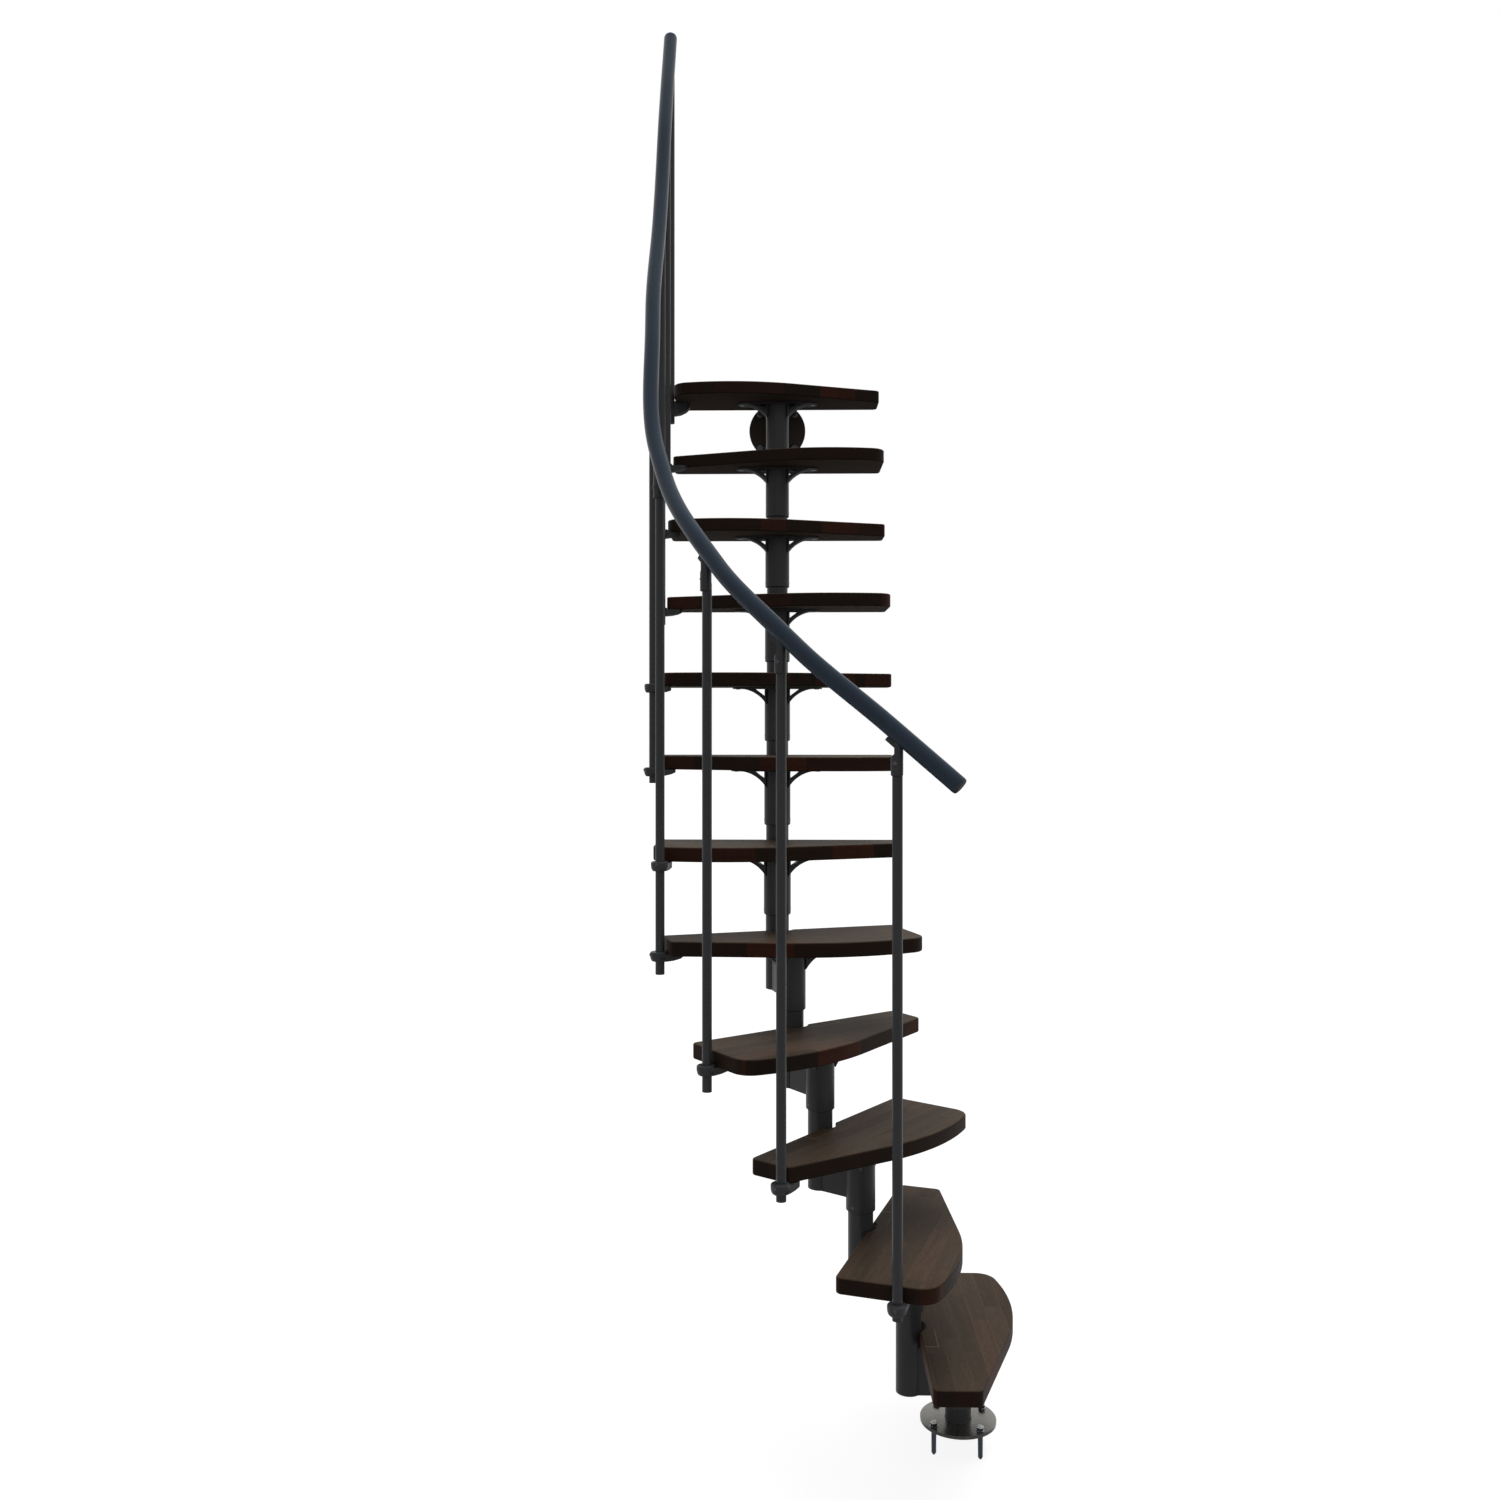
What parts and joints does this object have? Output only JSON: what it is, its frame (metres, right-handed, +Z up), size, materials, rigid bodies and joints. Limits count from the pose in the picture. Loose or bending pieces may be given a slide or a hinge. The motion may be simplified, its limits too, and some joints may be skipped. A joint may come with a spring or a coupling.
{
  "type": "space-saver staircase",
  "caption": "Quarter-turn staircase with paddle-shaped wooden treads on a modular steel spine, a round base plate, a wall flange, balusters and a bent round handrail.",
  "frame": {"origin": "centre of the base plate's underside, on the axis of the first column", "axes": "+Z up, +Y along the straight upper flight towards the wall, +X to the right of it; the climb starts towards -X"},
  "size_m": [0.9381, 1.5425, 3.8832],
  "materials": {
    "dark_steel": "satin",
    "base_steel": "satin",
    "anchor_steel": "satin",
    "walnut": "satin",
    "rail": "satin",
    "rail_cap": "satin"
  },
  "bodies": {
    "root": {"base_plate": "base_steel", "base_tube": "dark_steel", "base_anchors": "anchor_steel", "module_01": "dark_steel", "module_02": "dark_steel", "module_03": "dark_steel", "module_04": "dark_steel", "module_05": "dark_steel", "module_06": "dark_steel", "module_07": "dark_steel", "module_08": "dark_steel", "module_09": "dark_steel", "module_10": "dark_steel", "module_11": "dark_steel", "module_12": "dark_steel", "tread_01": "walnut", "tread_02": "walnut", "tread_03": "walnut", "tread_04": "walnut", "tread_05": "walnut", "tread_06": "walnut", "tread_07": "walnut", "tread_08": "walnut", "tread_09": "walnut", "tread_10": "walnut", "tread_11": "walnut", "tread_12": "walnut", "baluster_1": "dark_steel", "baluster_2": "dark_steel", "baluster_3": "dark_steel", "baluster_4": "dark_steel", "baluster_5": "dark_steel", "baluster_6": "dark_steel", "baluster_7": "dark_steel", "baluster_8": "dark_steel", "baluster_brackets": "dark_steel", "rail_connectors": "dark_steel", "handrail": "rail", "handrail_caps": "rail_cap", "wall_flange": "dark_steel"}
  },
  "joints": []
}
